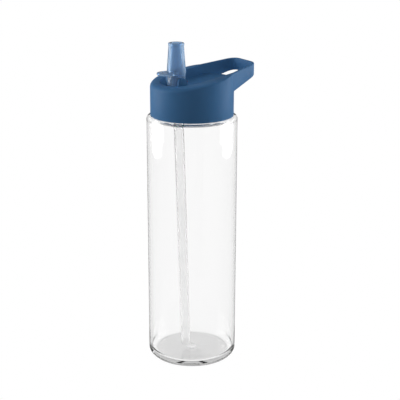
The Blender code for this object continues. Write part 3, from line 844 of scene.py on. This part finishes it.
@dataclass
class FlipSpout:
    """Mouthpiece that flips up on its trunnions, with a thumb tab and a drilled hub."""

    maker: SkinMaker
    finish: bpy.types.Material
    pivot_x: float = -14.2 * MM
    pivot_z: float = 231.83 * MM
    height: float = 29.9 * MM
    tip_radius: float = 6.0 * MM
    lip_radius: float = 6.25 * MM
    base_radius: float = 7.3 * MM
    base_top: float = 10.0 * MM
    foot_radius: float = 6.2 * MM
    hub_radius: float = 7.5 * MM
    hub_half_width: float = 6.9 * MM
    wall: float = 2.3 * MM
    mouth_radius: float = 3.4 * MM
    drink_hole: float = 2.7 * MM
    tab_reach: float = 16.4 * MM
    tab_half_width: float = 7.1 * MM
    tab_thickness: float = 1.8 * MM
    tab_height: float = 5.8 * MM
    trunnion_radius: float = 1.7 * MM
    trunnion_end: float = 9.0 * MM
    skin_step: float = 0.3 * MM

    def tube(self) -> bpy.types.Object:
        """Tapered outside of the tube, with its rolled lip.

        Returns:
            The solid, standing on the hinge line.
        """
        tip = self.height
        corners = [
            (0.0, 0.0, 0.0),
            (self.foot_radius, 0.0, 0.0),
            (self.foot_radius, 4.2 * MM, 0.4 * MM),
            (self.base_radius, self.tab_height, 0.5 * MM),
            (self.base_radius, self.base_top, 1.5 * MM),
            (self.tip_radius, tip - 2.6 * MM, 0.8 * MM),
            (self.lip_radius, tip - 1.6 * MM, 0.3 * MM),
            (self.lip_radius, tip, 0.7 * MM),
            (0.0, tip, 0.0),
        ]
        return self.maker.made("flip_spout", rounded(corners, 6), self.finish, Sweep(96))

    def bore(self) -> bpy.types.Object:
        """Drinking channel from the hub's underside to the tip.

        Returns:
            The cutter.
        """
        inner = self.base_radius - self.wall
        over = 2 * MM
        corners = [
            (0.0, -self.hub_radius - over, 0.0),
            (self.drink_hole, -self.hub_radius - over, 0.0),
            (self.drink_hole, MM, 1.5 * MM),
            (inner, self.tab_height, 1.5 * MM),
            (inner, self.base_top, 2.0 * MM),
            (self.mouth_radius, self.height - 3 * MM, 1.0 * MM),
            (self.mouth_radius, self.height + over, 0.0),
            (0.0, self.height + over, 0.0),
        ]
        return self.maker.made("spout_bore", rounded(corners, 5), self.finish, Sweep(64))

    def barrel(self, name: str, radius: float, half_width: float, ease: float) -> bpy.types.Object:
        """Cylinder along the hinge line.

        Args:
            name: the solid's name.
            radius: its radius.
            half_width: half of its length.
            ease: rounding of its rims.

        Returns:
            The solid, centred on the hinge line.
        """
        corners = [
            (0.0, -half_width, 0.0),
            (radius, -half_width, ease),
            (radius, half_width, ease),
            (0.0, half_width, 0.0),
        ]
        solid = self.maker.made(name, rounded(corners, 4), self.finish, Sweep(80))
        return moved(solid, Matrix.Rotation(-math.pi / 2, 4, "X"))

    def tab(self) -> bpy.types.Object:
        """Thumb tab with a round end.

        Returns:
            The solid.
        """
        centre = self.tab_half_width - self.tab_reach
        angles = [math.radians(90 + 180 * i / 40) for i in range(41)]
        edge = [(0.0, -self.tab_half_width), (0.0, self.tab_half_width)]
        edge += [
            (centre + self.tab_half_width * math.cos(a), self.tab_half_width * math.sin(a))
            for a in angles
        ]
        low, high = self.tab_height, self.tab_height + self.tab_thickness
        bm = bmesh.new()
        below = [bm.verts.new((x, y, low)) for x, y in edge]
        above = [bm.verts.new((x, y, high)) for x, y in edge]
        bm.faces.new(below)
        bm.faces.new(above)
        for i in range(len(edge)):
            j = (i + 1) % len(edge)
            bm.faces.new([below[i], below[j], above[j], above[i]])
        mesh = bpy.data.meshes.new("thumb_tab")
        bm.to_mesh(mesh)
        bm.free()
        solid = bpy.data.objects.new("thumb_tab", mesh)
        bpy.context.scene.collection.objects.link(solid)
        turn_outward(solid)
        return solid

    def build(self) -> bpy.types.Object:
        """Joins the tube, hub, trunnions and tab, opens the bore and softens every edge.

        Returns:
            The finished piece.
        """
        spout = self.tube()
        hub = self.barrel("hub", self.hub_radius, self.hub_half_width, 0.5 * MM)
        reach = 2 * self.hub_radius
        trim_radius = self.base_radius - 0.1 * MM
        corners = [(0.0, -reach), (trim_radius, -reach), (trim_radius, reach), (0.0, reach)]
        cut(hub, self.maker.made("hub_trim", corners, self.finish, Sweep(90)), Cut.KEEP_SHARED)
        cut(spout, hub, Cut.JOIN)
        pins = self.barrel("trunnions", self.trunnion_radius, self.trunnion_end, 0.3 * MM)
        cut(spout, pins, Cut.JOIN)
        cut(spout, self.tab(), Cut.JOIN)
        cut(spout, self.bore(), Cut.REMOVE)
        skin = spout.modifiers.new("even_skin", "REMESH")
        skin.mode = "VOXEL"
        skin.voxel_size = self.skin_step
        ease = spout.modifiers.new("softened", "SMOOTH")
        ease.factor = 0.5
        ease.iterations = 8
        baked(spout)
        moved(spout, Matrix.Translation((self.pivot_x, 0.0, self.pivot_z)))
        smoothed(spout, 60.0)
        dress(spout, self.finish)
        stand_in(spout, "spout", Body.SPOUT)
        return spout


@dataclass
class DrinkingStraw:
    """Long straw that leans a little towards the loop."""

    maker: SkinMaker
    finish: bpy.types.Material
    nozzle_x: float = -12.3 * MM
    radius: float = 3.85 * MM
    wall: float = 0.7 * MM
    top: float = 205.63 * MM
    foot: float = 7.6 * MM
    grip: float = 5.0 * MM
    end_ease: float = 0.15 * MM
    lean: float = math.radians(1.85)

    def build(self) -> bpy.types.Object:
        """Extrudes the tube with eased cut ends, then leans it about its grip.

        Returns:
            The finished piece.
        """
        bore = self.radius - self.wall
        ease = self.end_ease
        corners = [
            (self.radius, self.top, ease),
            (self.radius, self.foot, ease),
            (bore, self.foot, ease),
            (bore, self.top, ease),
        ]
        straw = self.maker.made("drinking_straw", rounded(corners, 3), self.finish, Sweep(64))
        hold = self.top - self.grip / 2
        turn = Matrix.Rotation(-self.lean, 4, "Y")
        there = Matrix.Translation((self.nozzle_x, 0.0, hold))
        moved(straw, there @ turn @ Matrix.Translation((0.0, 0.0, -hold)))
        smoothed(straw)
        stand_in(straw, "straw", Body.LID)
        return straw


@dataclass
class SealSet:
    """Silicone parts: spout seat, straw sleeve, neck gasket and vent valve."""

    maker: SkinMaker
    finish: bpy.types.Material
    spout: FlipSpout
    straw: DrinkingStraw
    seal_radius: float = 4.8 * MM
    seal_height: float = 7.2 * MM
    rest_gap: float = 0.3 * MM
    sleeve_gap: float = 0.35 * MM
    sleeve_wall: float = 1.5 * MM
    nozzle_radius: float = 3.5 * MM
    nozzle_bore: float = 2.5 * MM
    web: float = 0.6 * MM
    grip_depth: float = 0.3 * MM
    gasket_width: float = 2.95 * MM
    gasket_bead: float = 0.15 * MM
    valve_at: tuple[float, float] = (8.0 * MM, -14.5 * MM)
    valve_tilt: float = math.radians(9.67)
    axis_top_z: float = 234.25 * MM
    recess_depth: float = 7.9 * MM
    head_height: float = 0.8 * MM
    skirt_thickness: float = 0.6 * MM
    tail_height: float = 1.6 * MM
    head_radius: float = 3.2 * MM
    stem_radius: float = 1.5 * MM
    skirt_radius: float = 4.4 * MM
    roof: float = 3.0 * MM

    def seat(self) -> bpy.types.Object:
        """Seat with a hollowed top that the hub turns on.

        Returns:
            The solid, in place.
        """
        low = -self.spout.hub_radius - self.seal_height
        high = -self.spout.hub_radius / 2
        hole = self.spout.drink_hole
        corners = [
            (hole, low, 0.2 * MM),
            (self.seal_radius, low, 0.3 * MM),
            (self.seal_radius, high, 0.1 * MM),
            (hole, high, 0.1 * MM),
        ]
        seat = self.maker.made("spout_seat", rounded(corners, 4), self.finish, Sweep(80))
        radius = self.spout.hub_radius + self.rest_gap
        cut(seat, self.spout.barrel("seat_hollow", radius, 2 * self.seal_radius, 0.0), Cut.REMOVE)
        moved(seat, Matrix.Translation((self.spout.pivot_x, 0.0, self.spout.pivot_z)))
        return seat

    def sleeve(self) -> bpy.types.Object:
        """Sleeve over the nozzle and the straw's top, with a bead at each end.

        Returns:
            The solid, in place.
        """
        straw = self.straw
        low, high = (c[2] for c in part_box("straw_connector"))
        outer = straw.radius + self.sleeve_gap + self.sleeve_wall
        inner = straw.radius + self.sleeve_gap
        web_low = straw.top + self.rest_gap
        web_high = web_low + self.web
        waist = outer - self.grip_depth
        corners = [
            (outer, high, 0.35 * MM),
            (outer, high - 2.0 * MM, 0.0),
            (waist, high - 2.6 * MM, 0.2 * MM),
            (waist, low + 2.6 * MM, 0.2 * MM),
            (outer, low + 2.0 * MM, 0.0),
            (outer, low, 0.35 * MM),
            (inner, low, 0.2 * MM),
            (inner, web_low, 0.1 * MM),
            (self.nozzle_bore, web_low, 0.05 * MM),
            (self.nozzle_bore, web_high, 0.05 * MM),
            (self.nozzle_radius + self.sleeve_gap, web_high, 0.1 * MM),
            (self.nozzle_radius + self.sleeve_gap, high, 0.2 * MM),
        ]
        sleeve = self.maker.made("straw_sleeve", rounded(corners, 3), self.finish, Sweep(72))
        return moved(sleeve, Matrix.Translation((straw.nozzle_x, 0.0, 0.0)))

    def gasket(self) -> bpy.types.Object:
        """Flat ring with two sealing beads on each face.

        Returns:
            The solid, in place.
        """
        low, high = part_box("neck_gasket")
        bottom, top, outer = low[2], high[2], high[0]
        inner = outer - self.gasket_width
        bead = self.gasket_bead
        step = (outer - inner) / 6
        dips = [0.0 if i in (2, 4) else bead for i in range(1, 6)]
        upper = [(outer - step * (i + 1), top - dip, 0.0) for i, dip in enumerate(dips)]
        lower = [(inner + step * (i + 1), bottom + dip, 0.0) for i, dip in enumerate(dips)]
        corners = [(outer, bottom + bead, 0.2 * MM), (outer, top - bead, 0.2 * MM), *upper]
        corners += [(inner, top - bead, 0.2 * MM), (inner, bottom + bead, 0.2 * MM), *lower]
        return self.maker.made("neck_gasket_ring", rounded(corners, 3), self.finish, Sweep(144))

    def valve(self) -> bpy.types.Object:
        """Air valve with a domed head, a stem and a thin skirt, set square to the recess floor.

        Returns:
            The solid, in place.
        """
        gap = self.rest_gap
        head = gap + self.head_height
        under = -self.roof - gap
        tail = under - self.tail_height
        corners = [
            (0.0, head, 0.0),
            (self.head_radius * 0.55, head, 0.2 * MM),
            (self.head_radius, head - 0.3 * MM, 0.15 * MM),
            (self.head_radius, gap, 0.1 * MM),
            (self.stem_radius, gap, 0.1 * MM),
            (self.stem_radius, under - self.skirt_thickness, 0.1 * MM),
            (self.skirt_radius, under, 0.05 * MM),
            (self.skirt_radius, under - self.skirt_thickness, 0.15 * MM),
            (self.stem_radius, tail, 0.2 * MM),
            (0.0, tail, 0.0),
        ]
        valve = self.maker.made("air_valve", rounded(corners, 4), self.finish, Sweep(64))
        slope = math.tan(self.valve_tilt)
        recess = self.recess_depth / math.cos(self.valve_tilt)
        floor_z = self.axis_top_z + self.valve_at[0] * slope - recess
        there = Matrix.Translation((*self.valve_at, floor_z))
        return moved(valve, there @ Matrix.Rotation(-self.valve_tilt, 4, "Y"))

    def build(self) -> list[bpy.types.Object]:
        """Builds all four parts.

        Returns:
            The finished pieces.
        """
        parts = [
            (self.seat(), "spout_seal", Body.LID),
            (self.sleeve(), "straw_connector", Body.LID),
            (self.gasket(), "neck_gasket", Body.GASKET_RING),
            (self.valve(), "vent_valve", Body.LID),
        ]
        for piece, node, body in parts:
            smoothed(piece, 40.0)
            dress(piece, self.finish)
            stand_in(piece, node, body)
        return [piece for piece, node, body in parts]


# --- Studio -------------------------------------------------------------------------------


@dataclass(frozen=True)
class Softbox:
    """Area light that faces the bottle. Its bearing is in degrees from the camera's own."""

    name: str
    bearing: float
    height: float
    size: tuple[float, float]
    power: float


@dataclass
class Studio:
    """White table and surround, two tall softboxes, a small fill and a long lens."""

    azimuth: float = math.radians(31.43)
    tilt: float = math.radians(17.735)
    distance: float = 0.79808
    eye_height: float = 0.38801
    lens: float = 93.02
    sensor: float = 36.0
    shift: float = 0.02
    surround: float = 0.28
    paper: float = 1.0
    table_glow: float = 0.28
    contact_radius: float = 29.0 * MM
    contact_fade: float = 3.0 * MM
    contact_tone: float = 0.72
    table_radius: float = 6.0
    table_drop: float = 0.2 * MM
    room_colour: Colour = (0.94, 0.97, 1.0)
    light_distance: float = 0.62
    light_target: float = 0.18
    softboxes: tuple[Softbox, ...] = (
        Softbox("left_softbox", -100.0, 0.26, (0.42, 0.7), 4.2),
        Softbox("right_softbox", 102.0, 0.26, (0.42, 0.7), 4.0),
        Softbox("front_fill", 12.0, 0.75, (0.3, 0.3), 0.5),
    )

    def floor(self) -> bpy.types.Object:
        """Wide white table, a hair below the bottle.

        Returns:
            The table.
        """
        bm = bmesh.new()
        bmesh.ops.create_circle(bm, cap_ends=True, segments=96, radius=self.table_radius)
        bmesh.ops.translate(bm, verts=bm.verts, vec=(0.0, 0.0, -self.table_drop))
        mesh = bpy.data.meshes.new("table_top")
        bm.to_mesh(mesh)
        bm.free()
        table = bpy.data.objects.new("table_top", mesh)
        bpy.context.scene.collection.objects.link(table)
        mesh.materials.append(self.paper_finish())
        return table

    def seen_through(self, tree: bpy.types.NodeTree) -> bpy.types.NodeSocket:
        """Tells what is seen from what only lights.

        Args:
            tree: the shader tree that needs the value.

        Returns:
            One where a thing is seen directly or through a clear wall, and zero elsewhere.
        """
        path = tree.nodes.new("ShaderNodeLightPath")
        either = tree.nodes.new("ShaderNodeMath")
        either.operation = "MAXIMUM"
        tree.links.new(path.outputs["Is Camera Ray"], either.inputs[0])
        tree.links.new(path.outputs["Is Transmission Ray"], either.inputs[1])
        return either.outputs[0]

    def paper_finish(self) -> bpy.types.Material:
        """White paper with a shade where the base keeps the light out.

        Returns:
            The table's material.
        """
        material = bpy.data.materials.new("white_table")
        material.use_nodes = True
        tree = material.node_tree
        tree.nodes.remove(tree.nodes["Principled BSDF"])
        place = tree.nodes.new("ShaderNodeTexCoord").outputs["Object"]
        reach = tree.nodes.new("ShaderNodeVectorMath")
        reach.operation = "LENGTH"
        tree.links.new(place, reach.inputs[0])
        shade = tree.nodes.new("ShaderNodeMapRange")
        shade.interpolation_type = "SMOOTHSTEP"
        shade.inputs["From Min"].default_value = self.contact_radius
        shade.inputs["From Max"].default_value = self.contact_radius + self.contact_fade
        shade.inputs["To Min"].default_value = self.contact_tone
        shade.inputs["To Max"].default_value = self.paper
        tree.links.new(reach.outputs["Value"], shade.inputs["Value"])
        seen = tree.nodes.new("ShaderNodeEmission")
        tree.links.new(shade.outputs["Result"], seen.inputs["Strength"])
        lights = tree.nodes.new("ShaderNodeEmission")
        lights.inputs["Strength"].default_value = self.table_glow
        mix = tree.nodes.new("ShaderNodeMixShader")
        tree.links.new(self.seen_through(tree), mix.inputs[0])
        tree.links.new(lights.outputs[0], mix.inputs[1])
        tree.links.new(seen.outputs[0], mix.inputs[2])
        tree.links.new(mix.outputs[0], tree.nodes["Material Output"].inputs["Surface"])
        return material

    def world(self) -> None:
        """White paper seen directly or through the clear wall, and a dimmer room that lights it."""
        world = bpy.data.worlds.new("studio")
        world.use_nodes = True
        bpy.context.scene.world = world
        tree = world.node_tree
        room = tree.nodes["Background"]
        room.inputs["Color"].default_value = (*self.room_colour, 1.0)
        room.inputs["Strength"].default_value = self.surround
        paper = tree.nodes.new("ShaderNodeBackground")
        paper.inputs["Color"].default_value = (1.0, 1.0, 1.0, 1.0)
        paper.inputs["Strength"].default_value = self.paper
        mix = tree.nodes.new("ShaderNodeMixShader")
        tree.links.new(self.seen_through(tree), mix.inputs[0])
        tree.links.new(room.outputs[0], mix.inputs[1])
        tree.links.new(paper.outputs[0], mix.inputs[2])
        tree.links.new(mix.outputs[0], tree.nodes["World Output"].inputs["Surface"])

    def light(self, box: Softbox) -> None:
        """Hangs one softbox.

        Args:
            box: its name, place, size and power in watts.
        """
        lamp = bpy.data.lights.new(box.name, "AREA")
        lamp.shape = "RECTANGLE"
        lamp.size, lamp.size_y = box.size
        lamp.energy = box.power
        holder = bpy.data.objects.new(box.name, lamp)
        bpy.context.scene.collection.objects.link(holder)
        angle = -math.pi / 2 - self.azimuth + math.radians(box.bearing)
        away = self.light_distance
        place = Vector((away * math.cos(angle), away * math.sin(angle), box.height))
        holder.location = place
        target = Vector((0.0, 0.0, self.light_target))
        holder.rotation_euler = (target - place).to_track_quat("-Z", "Y").to_euler()

    def camera(self) -> None:
        """Long lens, a little above the lid."""
        away, tilt = self.azimuth, self.tilt
        forward = Vector(
            (math.sin(away) * math.cos(tilt), math.cos(away) * math.cos(tilt), -math.sin(tilt))
        )
        right = Vector((math.cos(away), -math.sin(away), 0.0))
        up = right.cross(forward)
        data = bpy.data.cameras.new("studio_camera")
        data.lens = self.lens
        data.sensor_width = self.sensor
        data.shift_x = self.shift
        camera = bpy.data.objects.new("studio_camera", data)
        bpy.context.scene.collection.objects.link(camera)
        place = (-self.distance * math.sin(away), -self.distance * math.cos(away), self.eye_height)
        turn = Matrix((right, up, -forward)).transposed().to_4x4()
        camera.matrix_world = Matrix.Translation(place) @ turn
        bpy.context.scene.camera = camera

    def build(self) -> None:
        """Sets the table, the surround, the lights and the camera."""
        self.floor()
        self.world()
        for box in self.softboxes:
            self.light(box)
        self.camera()
        bpy.context.scene.view_settings.view_transform = "Standard"
        LOG.info("studio is set")


def main() -> None:
    """Builds the bottle from the table up, then the studio round it."""
    logging.basicConfig(level=logging.INFO, format="%(name)s: %(message)s")
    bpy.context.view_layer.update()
    maker = SkinMaker()
    tinted = TintedFinish().made()
    silicone = SiliconeFinish().made()
    ClearBottle(maker, ClearFinish().made()).build()
    ScrewLid(LidFinish().made()).build()
    spout = FlipSpout(maker, tinted)
    spout.build()
    straw = DrinkingStraw(maker, FrostedFinish().made())
    straw.build()
    SealSet(maker, silicone, spout, straw).build()
    Studio().build()


if __name__ == "__main__":
    main()
